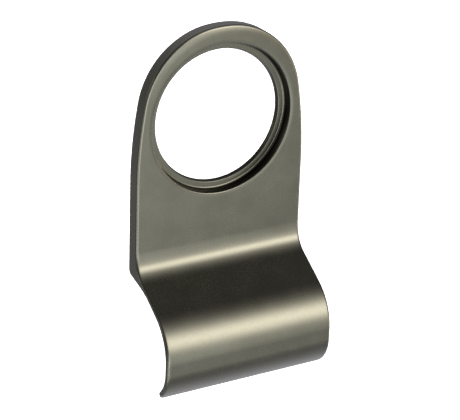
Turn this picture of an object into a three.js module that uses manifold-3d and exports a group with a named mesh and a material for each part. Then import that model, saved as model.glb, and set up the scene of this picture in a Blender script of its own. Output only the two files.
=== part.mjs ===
// Cylinder latch pull: a cast door plate with a round top and a stepped bore for a rim lock cylinder,
// whose lower end sweeps forward in an S and curls back into a lip that the fingers pull on.
// Two steel pins pressed into its back bite into the door, so that the plate can't turn.
//
// Millimetres, +Z up, X to the right, the door behind the plate and the user in front, at -Y.
// The origin is on the axis of the bore, in the plane of the plate's back, which lies on the door.

import * as THREE from "three";
import { mergeVertices } from "three/addons/utils/BufferGeometryUtils.js";
import Module from "manifold-3d";

// Plate, seen from the front.
const PLATE_HALF_WIDTH = 22;
const PLATE_THICKNESS = 3.5;
const PLATE_TOP_Z = 22.4;
const TOP_RADIUS = 27; // the crown of the round top, slightly flatter than its shoulders
const TOP_HALF_ANGLE = THREE.MathUtils.degToRad(6.3);
const SHOULDER_RADIUS = 19.8;
const SIDE_STRAIGHT_TO_Z = -13.3; // above this height the sides lean in towards the round top
const PLATE_END_Z = -28; // the bend takes over here
const EDGE_RADIUS = 0.3; // softened front edges

// Bore for the cylinder, from the front: a recess for its ring, a ledge, and a hole for its body.
const RECESS_RADIUS = 18.15;
const RECESS_DEPTH = 2.4;
const RECESS_EDGE_RADIUS = 0.25;
const LEDGE_FILLET = 0.45;
const HOLE_RADIUS = 16.2; // at the ledge
const HOLE_DRAFT = 0.25; // the hole is this much smaller in radius at the back
const BORE_SEGMENTS = 72;

// Finger pull, seen from the side: bend, slope, bulge, grip and lip, in order down its front surface.
// The bend is three arcs: it starts gently, is tightest in its middle, and opens again to the slope.
const PULL_TOP_Z = -21; // the pull's solid starts here, as a stretch of the plate
const BEND_START_Z = -29.6;
const SLOPE_ANGLE = THREE.MathUtils.degToRad(57.6); // between the slope and the door
const LEAD_RADIUS = 12.2;
const LEAD_ANGLE = THREE.MathUtils.degToRad(15);
const TIGHT_RADIUS = 5.4;
const TIGHT_ANGLE = THREE.MathUtils.degToRad(23.5);
const RUN_RADIUS = 8.1;
const RUN_ANGLE = SLOPE_ANGLE - LEAD_ANGLE - TIGHT_ANGLE;
const SLOPE_LENGTH = 8.4;
const BULGE_RADIUS = 12.65;
const GRIP_LENGTH = 2.45;
const LIP_RADIUS = 9;
const LIP_ANGLE = THREE.MathUtils.degToRad(53);
const SLOPE_THICKNESS = 0.8; // the sheet is thinnest where the slope starts
const TIP_THICKNESS = 1.5; // and thickens evenly to the end of the lip
const SHEET_STATIONS = 60; // points along each face of the sheet
const PULL_CORNER_RADIUS = 1.2; // lower corners, seen from the front
const PULL_CORNER_SPAN = 4; // depth of the cut that rounds them, measured up from the lowest point

// Underside, from the plate's back to the pull's back: the heel, a flat and a hollow.
const HEEL_Z = -35.85; // where the flat's line meets the door
const HEEL_RADIUS = 1.3;
const UNDERSIDE_ANGLE = THREE.MathUtils.degToRad(15.5); // the flat's slope
const UNDERSIDE_RADIUS = 16;

// Pins that stop the plate from turning on the door.
const PIN_RADIUS = 1;
const PIN_X = 14;
const PIN_Z = -24;
const PIN_DEPTH = 1.9; // in the plate
const PIN_SHANK = 1.1; // out of the plate, before the point
const PIN_POINT = 1.1;
const PIN_HOLE_GAP = 0.2;
const PIN_SEGMENTS = 24;

const OVERRUN = 1; // how far a cutting solid passes a face that it cuts
const CUT_DEPTH = 30; // more than the whole part's depth
const CUT_GAP = 0.02; // between the corners' cutting solid and the lowest line of the lip

const BEVEL_SEGMENTS = 3;
const OUTLINE_SEGMENTS = 12; // steps in each arc of the plate's outline
const SIDE_VIEW_SEGMENTS = 8; // steps in each arc of the pull's side view
const CORNER_SEGMENTS = 8;
const BORE_ARC_SEGMENTS = 2; // steps in each rounded edge of the bore

const wasm = await Module();
wasm.setup();

// Directions in a shape's own plane.
const polar = (angle, length) => new THREE.Vector2(Math.cos(angle), Math.sin(angle)).multiplyScalar(length);

// A closed three.js geometry as a manifold-3d solid.
function solidOf(geometry) {
  const bare = geometry.clone();
  bare.deleteAttribute("normal");
  bare.deleteAttribute("uv");
  const merged = mergeVertices(bare, 1e-4);
  return new wasm.Manifold(
    new wasm.Mesh({
      numProp: 3,
      vertProperties: new Float32Array(merged.attributes.position.array),
      triVerts: new Uint32Array(merged.index.array),
    }),
  );
}

// A manifold-3d solid as a flat-shaded three.js geometry.
function geometryOf(solid) {
  const mesh = solid.getMesh();
  const geometry = new THREE.BufferGeometry();
  geometry.setAttribute("position", new THREE.BufferAttribute(mesh.vertProperties, 3));
  geometry.setIndex(new THREE.BufferAttribute(mesh.triVerts, 1));
  const faceted = geometry.toNonIndexed();
  faceted.computeVertexNormals();
  return faceted;
}

function boxSolid(low, high) {
  const size = high.map((value, axis) => value - low[axis]);
  const middle = high.map((value, axis) => (value + low[axis]) / 2);
  return solidOf(new THREE.BoxGeometry(...size).translate(...middle));
}

// Extrudes a shape drawn in X and Z from y = back towards the front. Its ends' edges are rounded.
function extrudeTowardsFront(shape, back, depth, edgeRadius, curveSegments) {
  const geometry = new THREE.ExtrudeGeometry(shape, {
    depth: depth - 2 * edgeRadius,
    curveSegments,
    bevelEnabled: edgeRadius > 0,
    bevelThickness: edgeRadius,
    bevelSize: edgeRadius,
    bevelOffset: -edgeRadius,
    bevelSegments: BEVEL_SEGMENTS,
  });
  geometry.rotateX(Math.PI / 2);
  geometry.translate(0, back - edgeRadius, 0);
  return solidOf(geometry);
}

// Extrudes a shape drawn in Y and Z across the part's width, with its ends' edges rounded.
function extrudeAcross(shape, halfWidth, edgeRadius, curveSegments) {
  const geometry = new THREE.ExtrudeGeometry(shape, {
    depth: 2 * (halfWidth - edgeRadius),
    curveSegments,
    bevelThickness: edgeRadius,
    bevelSize: edgeRadius,
    bevelOffset: -edgeRadius,
    bevelSegments: BEVEL_SEGMENTS,
  });
  const toYZ = new THREE.Matrix4().makeBasis(
    new THREE.Vector3(0, 1, 0),
    new THREE.Vector3(0, 0, 1),
    new THREE.Vector3(1, 0, 0),
  );
  geometry.translate(0, 0, edgeRadius - halfWidth);
  geometry.applyMatrix4(toYZ);
  return solidOf(geometry);
}

// The plate's outline: straight sides, long arcs that lean in, round shoulders and a slightly flatter
// crown, each tangent to the next.
function plateOutline() {
  const crown = new THREE.Vector2(0, PLATE_TOP_Z - TOP_RADIUS);
  const crownStart = Math.PI / 2 - TOP_HALF_ANGLE;
  const shoulder = crown.clone().add(polar(crownStart, TOP_RADIUS - SHOULDER_RADIUS));
  const across = shoulder.x - PLATE_HALF_WIDTH;
  const rise = shoulder.y - SIDE_STRAIGHT_TO_Z;
  const sideRadius = (SHOULDER_RADIUS ** 2 - across ** 2 - rise ** 2) / (2 * (across + SHOULDER_RADIUS));
  const sideX = PLATE_HALF_WIDTH - sideRadius;
  const sideEnd = Math.atan2(rise, shoulder.x - sideX);
  const shape = new THREE.Shape();
  shape.moveTo(-PLATE_HALF_WIDTH, PLATE_END_Z);
  shape.lineTo(PLATE_HALF_WIDTH, PLATE_END_Z);
  shape.absarc(sideX, SIDE_STRAIGHT_TO_Z, sideRadius, 0, sideEnd, false);
  shape.absarc(shoulder.x, shoulder.y, SHOULDER_RADIUS, sideEnd, crownStart, false);
  shape.absarc(crown.x, crown.y, TOP_RADIUS, crownStart, Math.PI - crownStart, false);
  shape.absarc(-shoulder.x, shoulder.y, SHOULDER_RADIUS, Math.PI - crownStart, Math.PI - sideEnd, false);
  shape.absarc(-sideX, SIDE_STRAIGHT_TO_Z, sideRadius, Math.PI - sideEnd, Math.PI, false);
  return shape;
}

// The stretches of the pull's front surface, from the plate down, as length and curvature.
// Positive curvature turns the surface to face up, and negative curvature turns it down again.
function frontStretches() {
  return [
    [LEAD_RADIUS * LEAD_ANGLE, 1 / LEAD_RADIUS],
    [TIGHT_RADIUS * TIGHT_ANGLE, 1 / TIGHT_RADIUS],
    [RUN_RADIUS * RUN_ANGLE, 1 / RUN_RADIUS],
    [SLOPE_LENGTH, 0],
    [BULGE_RADIUS * SLOPE_ANGLE, -1 / BULGE_RADIUS],
    [GRIP_LENGTH, 0],
    [LIP_RADIUS * LIP_ANGLE, -1 / LIP_RADIUS],
  ];
}

// Lengths along the front surface, from where the bend starts.
const BEND_LENGTH = LEAD_RADIUS * LEAD_ANGLE + TIGHT_RADIUS * TIGHT_ANGLE + RUN_RADIUS * RUN_ANGLE;
const PULL_LENGTH = frontStretches().reduce((sum, [length]) => sum + length, 0);

// The point on the pull's front surface at a distance down it, and how far the surface there faces up.
function frontAt(distance) {
  const point = new THREE.Vector2(-PLATE_THICKNESS, BEND_START_Z);
  let tilt = 0;
  let left = distance;
  for (const [length, curvature] of frontStretches()) {
    const step = Math.max(0, Math.min(left, length));
    const middle = tilt + (curvature * step) / 2;
    const chord = curvature ? (2 / curvature) * Math.sin((curvature * step) / 2) : step;
    point.add(new THREE.Vector2(-Math.sin(middle), -Math.cos(middle)).multiplyScalar(chord));
    tilt += curvature * step;
    left -= step;
  }
  return { point, tilt };
}

// A point behind the pull's front surface, by a distance along its normal.
function behindFront(distance, depth) {
  const { point, tilt } = frontAt(distance);
  return point.add(polar(-tilt, depth));
}

// Where two lines in the plane, each from a point at an angle, cross.
function crossing(from, angle, other, otherAngle) {
  const way = polar(angle, 1);
  const otherWay = polar(otherAngle, 1);
  const reach = other.clone().sub(from).cross(otherWay) / way.cross(otherWay);
  return from.clone().add(way.multiplyScalar(reach));
}

// The pull's outline from the side, in Y and Z, with the stretch of plate that it grows out of.
// Behind the door's plane it keeps going by OVERRUN, so that cutting it there leaves a sharp edge.
function pullOutline() {
  // The hollow of the underside touches the flat behind the heel and the back of the slope.
  const heel = new THREE.Vector2(0, HEEL_Z);
  const slopeBack = behindFront(BEND_LENGTH, SLOPE_THICKNESS);
  const slopeDirection = -Math.PI / 2 - SLOPE_ANGLE;
  const corner = crossing(heel, Math.PI + UNDERSIDE_ANGLE, slopeBack, slopeDirection);
  const turn = Math.PI / 2 - SLOPE_ANGLE - UNDERSIDE_ANGLE;
  const tangent = UNDERSIDE_RADIUS * Math.tan(turn / 2);
  const hollowEnd = corner.clone().add(polar(slopeDirection, tangent));
  const hollowCentre = hollowEnd.clone().add(polar(-SLOPE_ANGLE, UNDERSIDE_RADIUS));
  const sheetStart = BEND_LENGTH + slopeBack.distanceTo(hollowEnd);
  const heelCentre = new THREE.Vector2(
    -HEEL_RADIUS,
    HEEL_Z - HEEL_RADIUS * Math.tan(UNDERSIDE_ANGLE) + HEEL_RADIUS / Math.cos(UNDERSIDE_ANGLE),
  );

  const shape = new THREE.Shape();
  shape.moveTo(-PLATE_THICKNESS, PULL_TOP_Z);
  for (let k = 0; k < SHEET_STATIONS; k++) {
    const { point } = frontAt((k / SHEET_STATIONS) * PULL_LENGTH);
    shape.lineTo(point.x, point.y);
  }
  const nose = behindFront(PULL_LENGTH, TIP_THICKNESS / 2);
  const noseStart = Math.PI + LIP_ANGLE;
  shape.absarc(nose.x, nose.y, TIP_THICKNESS / 2, noseStart, noseStart + Math.PI, false);
  for (let k = SHEET_STATIONS - 1; k > 0; k--) {
    const share = k / SHEET_STATIONS;
    const thickness = SLOPE_THICKNESS + share * (TIP_THICKNESS - SLOPE_THICKNESS);
    const point = behindFront(sheetStart + share * (PULL_LENGTH - sheetStart), thickness);
    shape.lineTo(point.x, point.y);
  }
  const slopeNormal = Math.PI - SLOPE_ANGLE;
  const flatNormal = Math.PI / 2 + UNDERSIDE_ANGLE;
  shape.absarc(hollowCentre.x, hollowCentre.y, UNDERSIDE_RADIUS, slopeNormal, flatNormal, true);
  shape.absarc(heelCentre.x, heelCentre.y, HEEL_RADIUS, UNDERSIDE_ANGLE - Math.PI / 2, 0, false);
  shape.lineTo(OVERRUN, heelCentre.y);
  shape.lineTo(OVERRUN, PULL_TOP_Z);
  return shape;
}

// Everything outside the rounded lower corners of the pull, seen from the front, as one solid to cut away.
function cornerCut(lowest) {
  const side = PLATE_HALF_WIDTH + OVERRUN;
  const high = lowest + PULL_CORNER_SPAN;
  const bendX = PLATE_HALF_WIDTH - PULL_CORNER_RADIUS;
  const bendZ = lowest + PULL_CORNER_RADIUS;
  const flare = PLATE_HALF_WIDTH + 0.5 * OVERRUN;
  const shape = new THREE.Shape();
  shape.moveTo(-side, high);
  shape.lineTo(-side, lowest - OVERRUN);
  shape.lineTo(side, lowest - OVERRUN);
  shape.lineTo(side, high);
  shape.lineTo(flare, high);
  shape.lineTo(PLATE_HALF_WIDTH, bendZ);
  shape.absarc(bendX, bendZ, PULL_CORNER_RADIUS, 0, -Math.PI / 2, true);
  shape.lineTo(bendX, lowest - CUT_GAP);
  shape.lineTo(-bendX, lowest - CUT_GAP);
  shape.absarc(-bendX, bendZ, PULL_CORNER_RADIUS, -Math.PI / 2, -Math.PI, true);
  shape.lineTo(-flare, high);
  return extrudeTowardsFront(shape, 0, CUT_DEPTH, 0, CORNER_SEGMENTS);
}

// The air in the stepped bore, as a solid of revolution about the Y axis.
function boreSolid() {
  const front = -PLATE_THICKNESS;
  const ledge = front + RECESS_DEPTH;
  const profile = new THREE.Path();
  profile.moveTo(0, OVERRUN);
  profile.lineTo(HOLE_RADIUS - HOLE_DRAFT, OVERRUN);
  profile.lineTo(HOLE_RADIUS - HOLE_DRAFT, 0);
  profile.lineTo(HOLE_RADIUS, ledge);
  profile.lineTo(RECESS_RADIUS - LEDGE_FILLET, ledge);
  profile.absarc(RECESS_RADIUS - LEDGE_FILLET, ledge - LEDGE_FILLET, LEDGE_FILLET, Math.PI / 2, 0, true);
  profile.lineTo(RECESS_RADIUS, front + RECESS_EDGE_RADIUS);
  profile.absarc(
    RECESS_RADIUS + RECESS_EDGE_RADIUS,
    front + RECESS_EDGE_RADIUS,
    RECESS_EDGE_RADIUS,
    Math.PI,
    1.5 * Math.PI,
    false,
  );
  profile.lineTo(RECESS_RADIUS + RECESS_EDGE_RADIUS, front - OVERRUN);
  profile.lineTo(0, front - OVERRUN);
  return solidOf(new THREE.LatheGeometry(profile.getPoints(BORE_ARC_SEGMENTS).reverse(), BORE_SEGMENTS));
}

// A round solid about the Y axis at a pin's place, from a list of radius and y.
function turnedAtPin(profile, x) {
  const points = profile.map(([radius, y]) => new THREE.Vector2(radius, y));
  return new THREE.LatheGeometry(points, PIN_SEGMENTS).translate(x, 0, PIN_Z);
}

function pinHole(x) {
  const radius = PIN_RADIUS + PIN_HOLE_GAP;
  const bottom = -PIN_DEPTH - PIN_HOLE_GAP;
  const profile = [
    [0, bottom],
    [radius, bottom],
    [radius, OVERRUN],
    [0, OVERRUN],
  ];
  return solidOf(turnedAtPin(profile, x));
}

function pinGeometry(x) {
  const profile = [
    [0, -PIN_DEPTH],
    [PIN_RADIUS, -PIN_DEPTH],
    [PIN_RADIUS, PIN_SHANK],
    [0, PIN_SHANK + PIN_POINT],
  ];
  return turnedAtPin(profile, x);
}

function pullPlateGeometry() {
  const lowest = behindFront(PULL_LENGTH, TIP_THICKNESS / 2).y - TIP_THICKNESS / 2;
  const plateDepth = PLATE_THICKNESS + OVERRUN;
  const plate = extrudeTowardsFront(plateOutline(), OVERRUN, plateDepth, EDGE_RADIUS, OUTLINE_SEGMENTS);
  const pull = extrudeAcross(pullOutline(), PLATE_HALF_WIDTH, EDGE_RADIUS, SIDE_VIEW_SEGMENTS);
  const side = PLATE_HALF_WIDTH + OVERRUN;
  const doorSide = boxSolid([-side, 0, lowest - OVERRUN], [side, 2 * OVERRUN, PLATE_TOP_Z + OVERRUN]);
  let body = plate.add(pull).subtract(doorSide);
  body = body.subtract(cornerCut(lowest));
  body = body.subtract(boreSolid());
  for (const x of [-PIN_X, PIN_X]) {
    body = body.subtract(pinHole(x));
  }
  return geometryOf(body);
}

const satinNickel = new THREE.MeshStandardMaterial({ color: 0x77776c, roughness: 0.38, metalness: 1 });
const pinSteel = new THREE.MeshStandardMaterial({ color: 0x9a9a98, roughness: 0.45, metalness: 1 });

function part(name, geometry, material) {
  const mesh = new THREE.Mesh(geometry, material);
  mesh.name = name;
  return mesh;
}

const latchPull = new THREE.Group();
latchPull.add(
  part("pull_plate", pullPlateGeometry(), satinNickel),
  part("locating_pin_left", pinGeometry(-PIN_X), pinSteel),
  part("locating_pin_right", pinGeometry(PIN_X), pinSteel),
);

export default latchPull;
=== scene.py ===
import math

import bmesh
import bpy
from mathutils import Matrix, Vector

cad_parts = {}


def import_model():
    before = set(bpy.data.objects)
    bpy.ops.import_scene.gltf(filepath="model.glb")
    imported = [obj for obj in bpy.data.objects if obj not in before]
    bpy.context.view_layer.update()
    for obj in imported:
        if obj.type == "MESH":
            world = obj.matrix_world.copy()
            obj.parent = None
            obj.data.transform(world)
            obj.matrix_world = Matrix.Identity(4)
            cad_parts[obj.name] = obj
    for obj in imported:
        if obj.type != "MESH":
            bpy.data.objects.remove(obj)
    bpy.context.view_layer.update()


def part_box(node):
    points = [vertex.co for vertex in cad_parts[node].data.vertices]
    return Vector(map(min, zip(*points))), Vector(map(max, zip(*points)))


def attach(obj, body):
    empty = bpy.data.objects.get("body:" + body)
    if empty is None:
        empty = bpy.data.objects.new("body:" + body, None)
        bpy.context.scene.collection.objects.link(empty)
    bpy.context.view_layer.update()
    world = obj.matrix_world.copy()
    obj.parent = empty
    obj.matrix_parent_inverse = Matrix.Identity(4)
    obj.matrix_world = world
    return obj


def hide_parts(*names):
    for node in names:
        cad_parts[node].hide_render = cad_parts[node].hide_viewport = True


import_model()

# The pull's shape, in millimetres, in the CAD model's frame: the bore's axis is y, the door is y = 0,
# and the user is at -y. Distances down the front surface are measured from the height of the bore's axis.
MM = 0.001  # in metres
HALF_WIDTH = 22.0
PLATE_THICKNESS = 3.5
PLATE_TOP_Z = 22.4
TOP_RADIUS = 27.0
TOP_HALF_ANGLE = math.radians(6.3)
SHOULDER_RADIUS = 19.8
SIDE_STRAIGHT_TO_Z = -13.3
BEND_START = 29.6
SLOPE_ANGLE = math.radians(57.6)
LEAD_RADIUS = 12.2  # the bend starts gently,
LEAD_ANGLE = math.radians(15.0)
TIGHT_RADIUS = 5.4  # is tightest in its middle,
TIGHT_ANGLE = math.radians(23.5)
RUN_RADIUS = 8.1  # and opens again towards the slope
RUN_ANGLE = SLOPE_ANGLE - LEAD_ANGLE - TIGHT_ANGLE
SLOPE_LENGTH = 8.4
BULGE_RADIUS = 12.65
GRIP_LENGTH = 2.45
LIP_RADIUS = 9.0
LIP_ANGLE = math.radians(53.0)
SLOPE_THICKNESS = 0.8
TIP_THICKNESS = 1.5
HEEL_Z = -35.85
HEEL_RADIUS = 1.3
UNDERSIDE_RADIUS = 16.0
UNDERSIDE_ANGLE = math.radians(15.5)

FRONT_EDGE = 0.42  # how far the rounded edge round the front reaches down the side,
FRONT_INSET = 0.65  # and in across the face
BACK_EDGE = 0.1  # radius of the plate's edge on the door
GRIP_BACK_EDGE = 0.25  # radius of the sheet's hidden edge. It grows to that from the plate's,
GRIP_EDGE_START = 6.0  # from this distance below the bend's start
GRIP_EDGE_LENGTH = 14.0  # and over this length
NOSE_EDGE = 0.69  # radius of both edges of the lip's end, nearly a half-circle
NOSE_LENGTH = 3.0  # over which the edges grow to that
CORNER_WIDTH = 1.2  # the lip's rounded corner: its size across the pull
CORNER_LENGTH = 1.6  # and along the sheet

RECESS_RADIUS = 18.15
RECESS_DRAFT = 0.2
RECESS_DEPTH = 2.4
RECESS_EDGE = 0.3
LEDGE_FILLET = 0.5
HOLE_RADIUS = 16.2
HOLE_EDGE = 0.2
HOLE_DRAFT = 0.25

# The ring round the bore is gently domed: its face falls away a little to the bore, and to the outside
# at the top.
DOME_WIDTH = 1.6
DOME_TILT = math.radians(15.0)  # at the very top
DOME_POWER = 3.2  # how soon it fades down the sides
DISH_WIDTH = 0.7
DISH_TILT = math.radians(5.0)

# Painted shade in the bore: how far the plating's colour is darkened on its walls and ledge. 0 is as on
# the face, 1 is darkest.
RECESS_WALL_PAINTED_SHADE = 0.85  # at the front of the recess's wall, which darkens to 1 at the ledge
LEDGE_PAINTED_SHADE = 0.15
HOLE_PAINTED_SHADE = 0.45
FILLET_PAINTED_SHADE_END = math.radians(50.0)  # how far round the ledge's fillet the darkness reaches

# A pin's outline from inside the plate to its point, as (radius, y). Its corners are softened.
PIN_PROFILE = [
    (0.0, -1.9), (0.86, -1.9), (0.9, -1.89), (0.99, -1.75), (1.0, -1.7),
    (1.0, 0.98), (0.995, 1.06), (0.95, 1.15), (0.12, 2.08), (0.07, 2.13), (0.0, 2.15),
]
PIN_SEGMENTS = 48

# How finely the casting's skin is made.
SUPPORT = 0.05  # width of the narrow faces that keep flat faces flat beside a rounded edge
SUPPORT_SHARE = 0.2  # the most of the wall between two rounded edges that such a face takes
DRAFT_STEP = 0.01  # how far those faces follow the draft of the bore's walls
PLATE_STEP = 0.5  # between the points of the plate's outline
ROW_STEP = 0.3  # between the rows of the sheet
COLUMNS = 88
SHARES = [2 * k / COLUMNS - 1 for k in range(1, COLUMNS)]  # of the half width, from left to right
CORNER_STEPS = 20
EDGE_STEPS = 8
BORE_STEPS = 6
LEAST_ARC_STEPS = 4
BACK_ARC_STEPS = 24
BACK_STEP = 0.5  # between the few points that carry the back line on along the sheet
BACK_POINTS = 4
DOME_STATIONS = (0.2, 0.45, 0.75, 1.0, 1.3, 1.6)  # distances from the outside edge
DOME_SHARE = 0.95  # brings them all nearer the edge, so that the last keeps clear of the dish
DISH_STATIONS = (0.7, 0.5, 0.3, 0.15)  # distances from the bore's edge
PARALLEL = 1e-9  # a smaller determinant means that two lines don't meet
TOUCHING = 1e-6  # how far past its end a line still counts as met, as a share of its length


def front_segments():
    """(length, curvature) of each stretch of the front surface below the plate.

    The last one goes on past the lip's end, so that a point of its rounded end can be placed."""
    return [
        (LEAD_RADIUS * LEAD_ANGLE, 1 / LEAD_RADIUS),
        (TIGHT_RADIUS * TIGHT_ANGLE, 1 / TIGHT_RADIUS),
        (RUN_RADIUS * RUN_ANGLE, 1 / RUN_RADIUS),
        (SLOPE_LENGTH, 0.0),
        (BULGE_RADIUS * SLOPE_ANGLE, -1 / BULGE_RADIUS),
        (GRIP_LENGTH, 0.0),
        (LIP_RADIUS * math.pi, -1 / LIP_RADIUS),
    ]


def front_at(s):
    """(y, z, tilt) of the front surface at distance s. The surface faces (-cos tilt, sin tilt)."""
    y, z, tilt = -PLATE_THICKNESS, -min(s, BEND_START), 0.0
    left = s - BEND_START
    for length, curve in front_segments():
        if left <= 0:
            break
        step = min(left, length)
        turned = tilt + curve * step
        if curve:
            y += (math.cos(turned) - math.cos(tilt)) / curve
            z -= (math.sin(turned) - math.sin(tilt)) / curve
        else:
            y -= math.sin(tilt) * step
            z -= math.cos(tilt) * step
        tilt = turned
        left -= step
    return y, z, tilt


SLOPE_START = BEND_START + LEAD_RADIUS * LEAD_ANGLE + TIGHT_RADIUS * TIGHT_ANGLE + RUN_RADIUS * RUN_ANGLE
LIP_END = SLOPE_START + SLOPE_LENGTH + BULGE_RADIUS * SLOPE_ANGLE + GRIP_LENGTH + LIP_RADIUS * LIP_ANGLE
OUTLINE_END = LIP_END + TIP_THICKNESS / 2


def behind_front(s, depth):
    """(y, z) of the point at a depth behind the front surface."""
    y, z, tilt = front_at(s)
    return y + depth * math.cos(tilt), z - depth * math.sin(tilt)


def arc(centre, radius, start, end, count):
    """Points of an arc in the side view."""
    cy, cz = centre
    return [
        (cy + radius * math.cos(a), cz + radius * math.sin(a))
        for a in (start + (end - start) * k / count for k in range(count + 1))
    ]


def hollow():
    """The hollow of the underside, which touches the flat behind the heel and the slope's back.

    Returns its centre, and the distance down the front where it ends and the sheet starts."""
    by, bz = behind_front(SLOPE_START, SLOPE_THICKNESS)
    slope = math.pi / 2 - SLOPE_ANGLE
    # The flat is z = HEEL_Z + y tan(UNDERSIDE_ANGLE), and the slope's back z = bz + (y - by) tan(slope).
    flat_rise, slope_rise = math.tan(UNDERSIDE_ANGLE), math.tan(slope)
    cy = (HEEL_Z - bz + by * slope_rise) / (slope_rise - flat_rise)
    cz = HEEL_Z + cy * flat_rise
    tangent = UNDERSIDE_RADIUS * math.tan((slope - UNDERSIDE_ANGLE) / 2)
    ey, ez = cy - tangent * math.cos(slope), cz - tangent * math.sin(slope)
    centre = (
        ey + UNDERSIDE_RADIUS * math.cos(SLOPE_ANGLE),
        ez - UNDERSIDE_RADIUS * math.sin(SLOPE_ANGLE),
    )
    return centre, SLOPE_START + math.hypot(ey - by, ez - bz)


HOLLOW_CENTRE, SHEET_START = hollow()


def sheet_thickness(s):
    """The sheet's thickness at distance s, beyond the hollow."""
    share = (s - SHEET_START) / (LIP_END - SHEET_START)
    return SLOPE_THICKNESS + min(max(share, 0.0), 1.0) * (TIP_THICKNESS - SLOPE_THICKNESS)


def back_contour():
    """The side view's back line, as (y, z) points: the door face, the heel, the hollow, and the first
    stretch of the sheet. The flat behind the heel runs from the heel's arc to the hollow's."""
    heel = (
        -HEEL_RADIUS,
        HEEL_Z - HEEL_RADIUS * math.tan(UNDERSIDE_ANGLE) + HEEL_RADIUS / math.cos(UNDERSIDE_ANGLE),
    )
    heel_arc = arc(heel, HEEL_RADIUS, 0.0, UNDERSIDE_ANGLE - math.pi / 2, BACK_ARC_STEPS)
    flat_end, hollow_end = math.pi / 2 + UNDERSIDE_ANGLE, math.pi - SLOPE_ANGLE
    underside = arc(HOLLOW_CENTRE, UNDERSIDE_RADIUS, flat_end, hollow_end, BACK_ARC_STEPS)
    stations = [SHEET_START + BACK_STEP * k for k in range(1, BACK_POINTS + 1)]
    sheet = [behind_front(s, sheet_thickness(s)) for s in stations]
    above_the_plate = (0.0, 2 * PLATE_TOP_Z)
    return [above_the_plate] + heel_arc + underside + sheet


BACK = back_contour()


def thickness(s):
    """How far behind the front surface at distance s the back surface is, along the normal."""
    if s > SHEET_START:
        return sheet_thickness(s)
    y, z, tilt = front_at(s)
    dy, dz = math.cos(tilt), -math.sin(tilt)
    reaches = []
    for (ay, az), (by, bz) in zip(BACK, BACK[1:]):
        ey, ez = by - ay, bz - az
        det = ey * dz - ez * dy
        if abs(det) < PARALLEL:
            continue
        reach = (ey * (az - z) - ez * (ay - y)) / det
        along = (dy * (az - z) - dz * (ay - y)) / det
        if reach > 0 and -TOUCHING <= along <= 1 + TOUCHING:
            reaches.append(reach)
    return min(reaches)


def place(u, s, depth):
    """The point at width u and distance s, at a depth behind the front surface, in metres."""
    y, z, tilt = front_at(s)
    return Vector((u, y + depth * math.cos(tilt), z - depth * math.sin(tilt))) * MM


def blend(low, high, t):
    """From low at t = 0 to high at t = 1, with a soft start and end."""
    t = min(max(t, 0.0), 1.0)
    return low + (high - low) * t * t * (3 - 2 * t)


def quarter_turn(steps, start=0.0):
    """Angles from the start to a right angle."""
    return [start + (math.pi / 2 - start) * k / steps for k in range(steps + 1)]


def circle(radius, segments):
    """Points round a circle."""
    turns = [2 * math.pi * k / segments for k in range(segments)]
    return [(radius * math.cos(a), radius * math.sin(a)) for a in turns]


def mirrored(outline):
    """The same outline on the other side of the pull."""
    return [((-u, s), (-nu, ns)) for (u, s), (nu, ns) in outline]


def plate_half_outline():
    """Right half of the plate's edge, from the bend up to the top: (u, s) and the outward direction."""
    crown_start = math.pi / 2 - TOP_HALF_ANGLE
    crown_z = PLATE_TOP_Z - TOP_RADIUS
    shoulder_x = (TOP_RADIUS - SHOULDER_RADIUS) * math.cos(crown_start)
    shoulder_z = crown_z + (TOP_RADIUS - SHOULDER_RADIUS) * math.sin(crown_start)
    # The side's arc touches the straight side at its end, and the shoulder's arc.
    across, rise = shoulder_x - HALF_WIDTH, shoulder_z - SIDE_STRAIGHT_TO_Z
    side_radius = (SHOULDER_RADIUS**2 - across**2 - rise**2) / (2 * (across + SHOULDER_RADIUS))
    side_x = HALF_WIDTH - side_radius
    side_end = math.atan2(rise, shoulder_x - side_x)
    points = []
    straight = BEND_START + SIDE_STRAIGHT_TO_Z
    count = round(straight / PLATE_STEP)
    for k in range(count):
        points.append(((HALF_WIDTH, BEND_START - straight * k / count), (1.0, 0.0)))
    stretches = [
        (side_x, SIDE_STRAIGHT_TO_Z, side_radius, 0.0, side_end),
        (shoulder_x, shoulder_z, SHOULDER_RADIUS, side_end, crown_start),
        (0.0, crown_z, TOP_RADIUS, crown_start, math.pi / 2),
    ]
    for cx, cz, radius, start, end in stretches:
        count = max(LEAST_ARC_STEPS, round(radius * (end - start) / PLATE_STEP))
        top_point = 1 if end == math.pi / 2 else 0
        for k in range(count + top_point):
            a = start + (end - start) * k / count
            at = (cx + radius * math.cos(a), -(cz + radius * math.sin(a)))
            points.append((at, (math.cos(a), -math.sin(a))))
    return points


def pull_half_outline():
    """Right edge of the pull, from the bend down to where its bottom edge runs straight."""
    points = []
    straight = OUTLINE_END - CORNER_LENGTH - BEND_START
    count = round(straight / ROW_STEP)
    for k in range(count):
        points.append(((HALF_WIDTH, BEND_START + straight * k / count), (1.0, 0.0)))
    for a in quarter_turn(CORNER_STEPS):
        at = (
            HALF_WIDTH - CORNER_WIDTH * (1 - math.cos(a)),
            OUTLINE_END - CORNER_LENGTH * (1 - math.sin(a)),
        )
        nu, ns = math.cos(a) / CORNER_WIDTH, math.sin(a) / CORNER_LENGTH
        size = math.hypot(nu, ns)
        points.append((at, (nu / size, ns / size)))
    return points


def edge_sizes(s):
    """The edges at distance s: the front one's reach down the side and across the face, and the
    back one's radius."""
    grip = (s - BEND_START - GRIP_EDGE_START) / GRIP_EDGE_LENGTH
    nose = (s - (OUTLINE_END - NOSE_LENGTH)) / NOSE_LENGTH
    front = blend(FRONT_EDGE, NOSE_EDGE, nose)
    inset = blend(FRONT_INSET, NOSE_EDGE, nose)
    back = blend(blend(BACK_EDGE, GRIP_BACK_EDGE, grip), NOSE_EDGE, nose)
    return front, inset, back


def dome_tilt(s):
    """How far the domed ring's face leans outwards at its edge, at distance s."""
    return DOME_TILT * (max(-s, 0.0) / PLATE_TOP_Z) ** DOME_POWER


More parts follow.
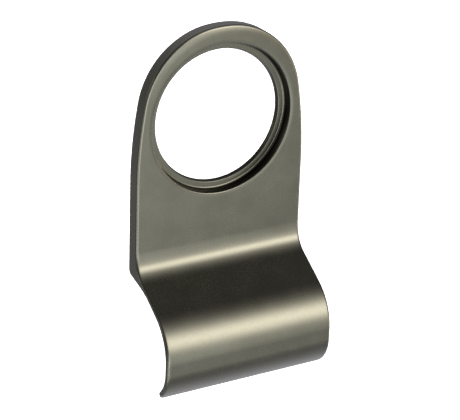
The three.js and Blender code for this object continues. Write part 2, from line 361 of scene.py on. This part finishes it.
def fall(distance, width, tilt):
    """How far a face has fallen at a distance from its edge, if it leans by the tilt at the edge."""
    return max(width - distance, 0.0) ** 2 / (2 * width) * math.tan(tilt)


def front_edge(s):
    """The front edge's start: its angle on the rounding, and its inset from the outline."""
    front, inset, _ = edge_sizes(s)
    start = math.atan(inset / front * math.tan(dome_tilt(s)))
    return start, inset * (1 - math.sin(start))


def edge_share(angle):
    """How much of an edge a point of a rounding is: 0 where it meets a face and 1 in its middle."""
    return abs(math.sin(2 * angle)) ** 0.5


def section(point, outward):
    """The edge's section at an outline point, front to back: (position, how much of an edge it is)."""
    (u, s), (nu, ns) = point, outward
    front, inset, back = edge_sizes(s)
    start, _ = front_edge(s)
    dropped = fall(0.0, DOME_WIDTH, dome_tilt(s))
    total = thickness(s)
    hold = min(SUPPORT, (total - front - back) * SUPPORT_SHARE)
    rows = []
    for a in quarter_turn(EDGE_STEPS, start):
        depth = dropped + front * (math.cos(start) - math.cos(a))
        rows.append((inset * (1 - math.sin(a)), depth, edge_share(a)))
    rows.append((0.0, dropped + front * math.cos(start) + hold, 0.0))
    rows.append((0.0, total - back - hold, 0.0))
    for a in quarter_turn(EDGE_STEPS):
        rows.append((back * (1 - math.cos(a)), total - back * (1 - math.sin(a)), edge_share(a)))
    return [(place(u - away * nu, s - away * ns, depth), edge) for away, depth, edge in rows]


class Builder:
    """Collects faces and vertices. Each vertex says how much it is on an edge, on the back, and how
    much painted shade it gets in the bore."""

    def __init__(self):
        self.mesh = bmesh.new()
        self.edge = self.mesh.verts.layers.float.new("edge")
        self.back = self.mesh.verts.layers.float.new("back")
        # painted shade: how far each vertex's colour is darkened in the bore
        self.shade = self.mesh.verts.layers.float.new("shade")

    def vert(self, position, edge=0.0, back=0.0, shade=0.0):
        v = self.mesh.verts.new(position)
        v[self.edge] = edge
        v[self.back] = back
        v[self.shade] = shade
        return v

    def bridge(self, one, two, closed=False):
        """Faces between two chains of vertices."""
        pairs = list(zip(one, two))
        if closed:
            pairs.append(pairs[0])
        for (a, b), (c, d) in zip(pairs, pairs[1:]):
            corners = list(dict.fromkeys((a, c, d, b)))
            if len(corners) > 2:
                self.mesh.faces.new(corners)

    def skin(self, chains, closed=False):
        """Faces between each chain of vertices and the next."""
        for one, two in zip(chains, chains[1:]):
            self.bridge(one, two, closed)

    def finish(self, name, material):
        """The smooth piece, linked into the scene."""
        bmesh.ops.recalc_face_normals(self.mesh, faces=self.mesh.faces)
        data = bpy.data.meshes.new(name)
        self.mesh.to_mesh(data)
        self.mesh.free()
        for polygon in data.polygons:
            polygon.use_smooth = True
        data.materials.append(material)
        piece = bpy.data.objects.new(name, data)
        bpy.context.scene.collection.objects.link(piece)
        return piece


def bore_profile():
    """The bore from the dished front face to the back face, as (radius, y, edge, painted shade)."""
    face = -PLATE_THICKNESS + fall(0.0, DISH_WIDTH, DISH_TILT)
    wall_start = -PLATE_THICKNESS + RECESS_EDGE
    ledge = -PLATE_THICKNESS + RECESS_DEPTH
    recess_end = RECESS_RADIUS - RECESS_DRAFT
    hole_end = HOLE_RADIUS - HOLE_DRAFT
    quarter = quarter_turn(BORE_STEPS)
    # Each row's last value is painted shade: the recess's wall darkens to near black at the ledge, the
    # ledge a little, the hole's wall about half.
    rows = [(RECESS_RADIUS + RECESS_EDGE + SUPPORT, face, 0.0, 0.0)]
    for a in quarter:
        radius = RECESS_RADIUS + RECESS_EDGE * (1 - math.sin(a))
        y = face + RECESS_EDGE * (1 - math.cos(a))
        rows.append((radius, y, edge_share(a), RECESS_WALL_PAINTED_SHADE * (1 - math.cos(a)) ** 2))
    rows.append((RECESS_RADIUS - DRAFT_STEP, wall_start + SUPPORT, 0.0, RECESS_WALL_PAINTED_SHADE))
    rows.append((recess_end + DRAFT_STEP, ledge - LEDGE_FILLET - SUPPORT, 0.0, 1.0))
    for a in quarter:
        radius = recess_end - LEDGE_FILLET * (1 - math.cos(a))
        y = ledge - LEDGE_FILLET * (1 - math.sin(a))
        rows.append((radius, y, 0.0, blend(1.0, LEDGE_PAINTED_SHADE, a / FILLET_PAINTED_SHADE_END)))
    rows.append((recess_end - LEDGE_FILLET - SUPPORT, ledge, 0.0, LEDGE_PAINTED_SHADE))
    rows.append((HOLE_RADIUS + HOLE_EDGE + SUPPORT, ledge, 0.0, LEDGE_PAINTED_SHADE))
    for a in quarter:
        radius = HOLE_RADIUS + HOLE_EDGE * (1 - math.sin(a))
        y = ledge + HOLE_EDGE * (1 - math.cos(a))
        rows.append((radius, y, edge_share(a), blend(LEDGE_PAINTED_SHADE, HOLE_PAINTED_SHADE, a)))
    rows.append((HOLE_RADIUS - DRAFT_STEP, ledge + HOLE_EDGE + SUPPORT, 0.0, HOLE_PAINTED_SHADE))
    rows.append((hole_end + DRAFT_STEP, -BACK_EDGE - SUPPORT, 0.0, HOLE_PAINTED_SHADE))
    for a in quarter:
        radius = hole_end + BACK_EDGE * (1 - math.cos(a))
        rows.append((radius, -BACK_EDGE * (1 - math.sin(a)), 0.0, HOLE_PAINTED_SHADE))
    rows.append((hole_end + BACK_EDGE + SUPPORT, 0.0, 0.0, 0.0))
    return rows


def edge_sections(b, outline):
    """The edge's section at each point of an outline, as a chain of vertices, front to back."""
    return [[b.vert(p, edge) for p, edge in section(point, outward)] for point, outward in outline]


def sheet_rows(b, outline, lefts, rights):
    """The sheet's rows, front and back, between the sections of its left edge and its right edge."""
    front_rows, back_rows = [], []
    for ((u, s), (nu, ns)), left, right in zip(outline, lefts, rights):
        _, inset, back = edge_sizes(s)
        front_u, front_s = u - inset * nu, s - inset * ns
        back_u, back_s = u - back * nu, s - back * ns
        depth = thickness(back_s)
        inner = [b.vert(place(front_u * c, front_s, 0.0)) for c in SHARES]
        front_rows.append([left[0], *inner, right[0]])
        inner = [b.vert(place(back_u * c, back_s, depth), back=1.0) for c in SHARES]
        back_rows.append([left[-1], *inner, right[-1]])
    return front_rows, back_rows


def bottom_sections(b, corner, front_row, back_row):
    """The sections of the bottom edge, between its rounded corners. They join the last rows."""
    (u, s), outward = corner
    sections = []
    for c, front, back in zip(SHARES, front_row[1:-1], back_row[1:-1]):
        side = [b.vert(p, edge) for p, edge in section((u * c, s), outward)[1:-1]]
        sections.append([front, *side, back])
    return sections


def supporting_rings(b, outline, rounded):
    """The rings on the plate's front and back faces just inside its outline.

    The outline's first points, as many as rounded says, have a rounded edge, and the others are the row
    along the bend. The first and the last rounded point lie on that row too. Points on it move up."""
    front_share, back_share = 1 - FRONT_INSET / HALF_WIDTH, 1 - BACK_EDGE / HALF_WIDTH
    front_ring, back_ring = [], []
    for index, ((u, s), (nu, ns)) in enumerate(outline):
        up = 0.0 if 0 < index < rounded - 1 else SUPPORT
        if index < rounded:
            inset, back = front_edge(s)[1] + SUPPORT, BACK_EDGE + SUPPORT
            front_u, front_s = u - inset * nu, s - inset * ns
            back_u, back_s = u - back * nu, s - back * ns
        else:
            front_u, front_s = u * front_share, s
            back_u, back_s = u * back_share, s
        dropped = fall(SUPPORT, DOME_WIDTH, dome_tilt(s))
        front_ring.append(b.vert(place(front_u, front_s - up, dropped)))
        back_ring.append(b.vert(Vector((back_u, 0.0, up - back_s)) * MM, back=1.0))
    return front_ring, back_ring


def bore_rings(b, outline):
    """The bore's rings, with a vertex towards each point of the plate's outline."""
    angles = [math.atan2(-s, u) for (u, s), _ in outline]
    rings = []
    for radius, y, edge, shade in bore_profile():
        points = [Vector((radius * math.cos(a), y, radius * math.sin(a))) * MM for a in angles]
        # each vertex keeps its row's painted shade
        rings.append([b.vert(point, edge, shade=shade) for point in points])
    return rings


def face_ring(b, outline, outer, inner, near_edge, reach):
    """A ring on the domed face between its outer and its inner ring, at a distance from one of them."""
    ring = []
    for ((_, s), _), at_edge, at_bore in zip(outline, outer, inner):
        one, two = at_edge.co.copy(), at_bore.co.copy()
        one.y = two.y = -PLATE_THICKNESS * MM
        length = (two - one).length / MM
        squeeze = min((length - DISH_WIDTH) / DOME_WIDTH, 1.0) * DOME_SHARE
        from_edge = reach * squeeze if near_edge else length - reach
        dome = fall(from_edge + SUPPORT, DOME_WIDTH, dome_tilt(s))
        dish = fall(length - from_edge, DISH_WIDTH, DISH_TILT)
        point = one.lerp(two, from_edge / length)
        point.y += (dome + dish) * MM
        ring.append(b.vert(point))
    return ring


def pull_plate(material):
    """The casting: one closed skin over the plate, the bore, the bend, the grip and the lip."""
    b = Builder()
    right_plate, right_pull = plate_half_outline(), pull_half_outline()
    plate_outline = right_plate + mirrored(right_plate[:-1])[::-1]
    plate_edge = edge_sections(b, plate_outline)
    # Below the bend, each row of the sheet runs between two sections of its edge.
    rights = [plate_edge[0]] + edge_sections(b, right_pull[1:])
    lefts = [plate_edge[-1]] + edge_sections(b, mirrored(right_pull[1:]))
    front_rows, back_rows = sheet_rows(b, right_pull, lefts, rights)
    bottom = bottom_sections(b, right_pull[-1], front_rows[-1], back_rows[-1])
    for chains in (front_rows, back_rows, plate_edge, rights, lefts, [lefts[-1], *bottom, rights[-1]]):
        b.skin(chains)

    # The plate's faces and its bore: rings that go up round the plate and back along the bend.
    outline = plate_outline + [((HALF_WIDTH * c, BEND_START), (0.0, 1.0)) for c in SHARES]
    front_ring = [chain[0] for chain in plate_edge] + front_rows[0][1:-1]
    back_ring = [chain[-1] for chain in plate_edge] + back_rows[0][1:-1]
    front_inner, back_inner = supporting_rings(b, outline, len(plate_outline))
    bore = bore_rings(b, outline)
    face = [face_ring(b, outline, front_inner, bore[0], True, reach) for reach in DOME_STATIONS]
    face += [face_ring(b, outline, front_inner, bore[0], False, reach) for reach in DISH_STATIONS]
    b.skin([front_ring, front_inner, *face, *bore, back_inner, back_ring], closed=True)
    return b.finish("pull_casting", material)


def pin(name, node, material):
    """A pin in its CAD node's place: its profile turned about its axis, which points into the door."""
    low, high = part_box(node)
    centre = (low + high) / 2
    b = Builder()
    rings = []
    for radius, y in PIN_PROFILE:
        if radius == 0:
            rings.append([b.vert(Vector((centre.x, y * MM, centre.z)))] * PIN_SEGMENTS)
            continue
        points = circle(radius * MM, PIN_SEGMENTS)
        rings.append([b.vert(Vector((centre.x + x, y * MM, centre.z + z))) for x, z in points])
    b.skin(rings, closed=True)
    return b.finish(name, material)


# ---------------------------------------------------------------- materials


def new_material(name):
    """A material with only a principled shader, and that shader."""
    material = bpy.data.materials.new(name)
    material.use_nodes = True
    nodes = material.node_tree.nodes
    nodes.clear()
    out = nodes.new("ShaderNodeOutputMaterial")
    shader = nodes.new("ShaderNodeBsdfPrincipled")
    material.node_tree.links.new(shader.outputs[0], out.inputs[0])
    return material, shader


def feed(tree, value, socket):
    """Links an output to a socket, or sets the socket to a number, a vector or a colour."""
    if isinstance(value, bpy.types.NodeSocket):
        tree.links.new(value, socket)
    elif socket.type == "RGBA":
        socket.default_value = (*value, 1.0)
    else:
        socket.default_value = value


def noise(tree, scale, detail, roughness=0.5):
    """Noise in the piece's own space. The scale is per metre."""
    coords = tree.nodes.get("coords")
    if coords is None:
        coords = tree.nodes.new("ShaderNodeTexCoord")
        coords.name = "coords"
    node = tree.nodes.new("ShaderNodeTexNoise")
    node.inputs["Scale"].default_value = scale
    node.inputs["Detail"].default_value = detail
    node.inputs["Roughness"].default_value = roughness
    tree.links.new(coords.outputs["Object"], node.inputs["Vector"])
    return node.outputs["Fac"]


def remap(tree, value, low, high, start=0.3, end=0.7):
    """Stretches a value from start and end to low and high. Most of a noise lies from 0.3 to 0.7."""
    node = tree.nodes.new("ShaderNodeMapRange")
    node.inputs["From Min"].default_value = start
    node.inputs["From Max"].default_value = end
    node.inputs["To Min"].default_value = low
    node.inputs["To Max"].default_value = high
    tree.links.new(value, node.inputs["Value"])
    return node.outputs["Result"]


def mix_colour(tree, factor, one, two):
    """From colour one, where the factor is 0, to colour two, where it is 1."""
    node = tree.nodes.new("ShaderNodeMix")
    node.data_type = "RGBA"
    feed(tree, factor, node.inputs[0])
    feed(tree, one, node.inputs[6])
    feed(tree, two, node.inputs[7])
    return node.outputs[2]


def maths(tree, operation, one, two):
    node = tree.nodes.new("ShaderNodeMath")
    node.operation = operation
    feed(tree, one, node.inputs[0])
    feed(tree, two, node.inputs[1])
    return node.outputs[0]


def vector_maths(tree, operation, one, two=(0.0, 0.0, 0.0)):
    node = tree.nodes.new("ShaderNodeVectorMath")
    node.operation = operation
    feed(tree, one, node.inputs[0])
    feed(tree, two, node.inputs["Scale" if operation == "SCALE" else 1])
    return node.outputs["Value" if operation == "DOT_PRODUCT" else "Vector"]


def attribute(tree, name):
    """One of the values that a Builder gives to each vertex."""
    node = tree.nodes.new("ShaderNodeAttribute")
    node.attribute_name = name
    return node.outputs["Fac"]


# The plating is slightly cloudy, between a low and a high colour. Grain, edges and back each mix
# in a colour of their own: the grain and the back up to a share, and the edges by the grain. The bore
# gets painted shade: a near-black colour mixed in by its shade value.
PLATING_LOW = (0.468, 0.463, 0.366)
PLATING_HIGH = (0.508, 0.503, 0.398)
PLATING_GRAIN = (0.445, 0.436, 0.345)
PLATING_EDGE = (0.60, 0.592, 0.48)
PLATING_BACK = (0.30, 0.29, 0.25)
# Painted shade: the near-black colour mixed into the bore's walls.
BORE_PAINTED_SHADE = (0.030, 0.028, 0.020)
GRAIN_SHARE = 0.12
EDGE_WEAR_LOW, EDGE_WEAR_HIGH = 0.25, 0.75
BACK_SHARE = 0.45
PLATING_ROUGHNESS = 0.25
CLOUD_ROUGHNESS = 0.03  # what the clouds add at their most
GRAIN_ROUGHNESS_LOW, GRAIN_ROUGHNESS_HIGH = -0.01, 0.015  # what the grain adds
BACK_ROUGHNESS = 0.14  # what the unpolished back adds
BUMP_HEIGHT = 0.05 * MM
BUMP_STRENGTH = 0.004
BACK_BUMP_STRENGTH = 0.25  # what the back adds
STEEL_LOW = (0.50, 0.50, 0.49)
STEEL_HIGH = (0.60, 0.60, 0.59)
STEEL_ROUGHNESS_LOW, STEEL_ROUGHNESS_HIGH = 0.28, 0.4


def plating_colour(tree, cloud, grain, edge, back, shade):
    """The plating's colour: cloudy and grained, lighter on the edges, duller on the back, and darkened
    in the bore by painted shade."""
    colour = mix_colour(tree, remap(tree, cloud, 0.0, 1.0), PLATING_LOW, PLATING_HIGH)
    colour = mix_colour(tree, remap(tree, grain, 0.0, GRAIN_SHARE), colour, PLATING_GRAIN)
    wear = maths(tree, "MULTIPLY", edge, remap(tree, grain, EDGE_WEAR_LOW, EDGE_WEAR_HIGH))
    colour = mix_colour(tree, wear, colour, PLATING_EDGE)
    colour = mix_colour(tree, maths(tree, "MULTIPLY", back, BACK_SHARE), colour, PLATING_BACK)
    # Painted shade: the bore's walls darkened towards near black.
    return mix_colour(tree, shade, colour, BORE_PAINTED_SHADE)


def plating_bump(tree, height, back):
    """Hardly any bump on the polished front, and a cast skin's bump on the back."""
    strength = maths(tree, "ADD", maths(tree, "MULTIPLY", back, BACK_BUMP_STRENGTH), BUMP_STRENGTH)
    bump = tree.nodes.new("ShaderNodeBump")
    bump.inputs["Distance"].default_value = BUMP_HEIGHT
    tree.links.new(strength, bump.inputs["Strength"])
    tree.links.new(height, bump.inputs["Height"])
    return bump.outputs["Normal"]


def satin_nickel():
    material, shader = new_material("satin_dark_nickel")
    tree = material.node_tree
    cloud = noise(tree, scale=180.0, detail=3.0)
    grain = noise(tree, scale=1400.0, detail=4.0, roughness=0.6)
    fine = noise(tree, scale=5200.0, detail=2.0, roughness=0.6)
    # The last attribute is the painted shade of the bore's walls.
    edge, back, shade = (attribute(tree, name) for name in ("edge", "back", "shade"))
    colour = plating_colour(tree, cloud, grain, edge, back, shade)
    tree.links.new(colour, shader.inputs["Base Color"])
    shader.inputs["Metallic"].default_value = 1.0
    rough = remap(tree, cloud, PLATING_ROUGHNESS, PLATING_ROUGHNESS + CLOUD_ROUGHNESS)
    rough = maths(tree, "ADD", rough, remap(tree, grain, GRAIN_ROUGHNESS_LOW, GRAIN_ROUGHNESS_HIGH))
    rough = maths(tree, "ADD", rough, maths(tree, "MULTIPLY", back, BACK_ROUGHNESS))
    tree.links.new(rough, shader.inputs["Roughness"])
    normal = plating_bump(tree, maths(tree, "ADD", grain, fine), back)
    tree.links.new(normal, shader.inputs["Normal"])
    return material


def pin_steel():
    material, shader = new_material("turned_steel")
    tree = material.node_tree
    grain = noise(tree, scale=2600.0, detail=3.0)
    colour = mix_colour(tree, remap(tree, grain, 0.0, 1.0), STEEL_LOW, STEEL_HIGH)
    tree.links.new(colour, shader.inputs["Base Color"])
    shader.inputs["Metallic"].default_value = 1.0
    rough = remap(tree, grain, STEEL_ROUGHNESS_LOW, STEEL_ROUGHNESS_HIGH)
    tree.links.new(rough, shader.inputs["Roughness"])
    return material


# ---------------------------------------------------------------- pieces

nickel = satin_nickel()
steel = pin_steel()

casting = pull_plate(nickel)
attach(casting, "root")
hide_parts("pull_plate")

for side in ("left", "right"):
    piece = pin("anti_turn_pin_" + side, "locating_pin_" + side, steel)
    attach(piece, "root")
    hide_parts("locating_pin_" + side)

# ---------------------------------------------------------------- camera

# Where the photo was taken from, worked out from the bore's two circles and the plate's outline.
CAMERA_AZIMUTH = math.radians(30.44)
CAMERA_ELEVATION = math.radians(23.52)
CAMERA_ROLL = math.radians(1.93)
CAMERA_DISTANCE = 475.9 * MM
CAMERA_TARGET = Vector((4.837, 0.102, -25.12)) * MM
CAMERA_LENS = 157.0  # in millimetres, like the sensor
CAMERA_SENSOR = 36.0
NEAREST_SEEN, FARTHEST_SEEN = 0.01, 50.0


def make_camera():
    """The photo's camera: its place round the part, in front on the left and above, and its roll."""
    sa, ca = math.sin(CAMERA_AZIMUTH), math.cos(CAMERA_AZIMUTH)
    se, ce = math.sin(CAMERA_ELEVATION), math.cos(CAMERA_ELEVATION)
    sr, cr = math.sin(CAMERA_ROLL), math.cos(CAMERA_ROLL)
    towards = Vector((-sa * ce, -ca * ce, se))
    right = Vector((ca, -sa, 0.0))
    up = Vector((sa * se, ca * se, ce))
    across, upwards = cr * right + sr * up, cr * up - sr * right
    data = bpy.data.cameras.new("camera")
    data.lens = CAMERA_LENS
    data.sensor_width = CAMERA_SENSOR
    data.clip_start = NEAREST_SEEN
    data.clip_end = FARTHEST_SEEN
    camera = bpy.data.objects.new("camera", data)
    turn = Matrix((across, upwards, towards)).transposed().to_4x4()
    camera.matrix_world = Matrix.Translation(CAMERA_TARGET + towards * CAMERA_DISTANCE) @ turn
    bpy.context.scene.collection.objects.link(camera)
    bpy.context.scene.camera = camera


make_camera()

# ---------------------------------------------------------------- studio


# The backdrop, in metres.
FLOOR_Z = -0.32
FLOOR_RADIUS = 2.0
COVE_RADIUS = 1.5
COVE_STEPS = 12
WALL_TOP = 4.0  # above the floor
BACKDROP_SEGMENTS = 96
PAPER = (0.9, 0.9, 0.9)
GLOW = 0.85


def backdrop():
    """A pale floor that curves up into a wall all round. It glows, so that it is evenly pale."""
    material, shader = new_material("pale_paper")
    shader.inputs["Base Color"].default_value = (*PAPER, 1.0)
    shader.inputs["Roughness"].default_value = 0.9
    shader.inputs["Emission Color"].default_value = (1.0, 1.0, 1.0, 1.0)
    shader.inputs["Emission Strength"].default_value = GLOW
    profile = [(FLOOR_RADIUS / 2, 0.0), (FLOOR_RADIUS, 0.0)]
    for a in quarter_turn(COVE_STEPS)[1:]:
        profile.append((FLOOR_RADIUS + COVE_RADIUS * math.sin(a), COVE_RADIUS * (1 - math.cos(a))))
    profile.append((FLOOR_RADIUS + COVE_RADIUS, WALL_TOP))
    b = Builder()
    rings = [[b.vert(Vector((0, 0, FLOOR_Z)))] * BACKDROP_SEGMENTS]
    for radius, height in profile:
        points = circle(radius, BACKDROP_SEGMENTS)
        rings.append([b.vert(Vector((x, y, FLOOR_Z + height))) for x, y in points])
    b.skin(rings, closed=True)
    piece = b.finish("floor", material)
    # The pull mirrors the studio's light through the floor, and is lit through it from below.
    piece.visible_glossy = False
    piece.visible_shadow = False


backdrop()


# The studio: a dim room with soft patches of light. Each is given by its azimuth and height as seen from
# the part, in degrees (azimuth 0 is straight in front and 90 is to the right), its spread in degrees, its
# brightness and its tint.
ROOM = 0.039
WARM = (1.06, 1.0, 0.96)
COOL = (0.96, 1.0, 1.02)
AMBER = (1.14, 1.0, 0.8)
BLUE = (1.0, 1.0, 1.22)
PATCHES = [
    (30.0, 17.5, 11.0, 2.08, WARM),  # the main light, in front on the right, a little above the part
    (24.0, 42.0, 12.0, 0.24, WARM),  # its spill upwards
    (9.0, -16.5, 10.0, 1.35, COOL),  # low, in front
    (60.0, -14.0, 10.0, 0.76, AMBER),  # low, beside the main light
    (-36.0, -30.0, 10.0, 1.0, WARM),  # low, in front on the left
    (135.0, -55.0, 30.0, 0.43, BLUE),  # low, behind on the right
    (170.0, 12.0, 20.0, 0.26, BLUE),  # behind
    (-96.0, 15.0, 12.0, 0.34, WARM),  # on the left
    (-130.0, -46.0, 32.0, 0.03, BLUE),  # low, behind on the left
]


def world():
    """The room's light plus each patch, which fades with the angle from its centre like a bell."""
    studio = bpy.data.worlds.new("studio")
    bpy.context.scene.world = studio
    studio.use_nodes = True
    tree = studio.node_tree
    where = tree.nodes.new("ShaderNodeTexCoord")
    direction = vector_maths(tree, "NORMALIZE", where.outputs["Generated"])
    light = (ROOM, ROOM, ROOM)
    for azimuth, height, spread, strength, tint in PATCHES:
        a, h = math.radians(azimuth), math.radians(height)
        centre = (math.sin(a) * math.cos(h), -math.cos(a) * math.cos(h), math.sin(h))
        off_centre = maths(tree, "SUBTRACT", vector_maths(tree, "DOT_PRODUCT", direction, centre), 1.0)
        power = maths(tree, "MULTIPLY", off_centre, math.radians(spread) ** -2)
        brightness = maths(tree, "MULTIPLY", maths(tree, "POWER", math.e, power), strength)
        light = vector_maths(tree, "ADD", light, vector_maths(tree, "SCALE", tint, brightness))
    tree.links.new(light, tree.nodes["Background"].inputs["Color"])


world()
bpy.context.scene.view_settings.view_transform = "Standard"
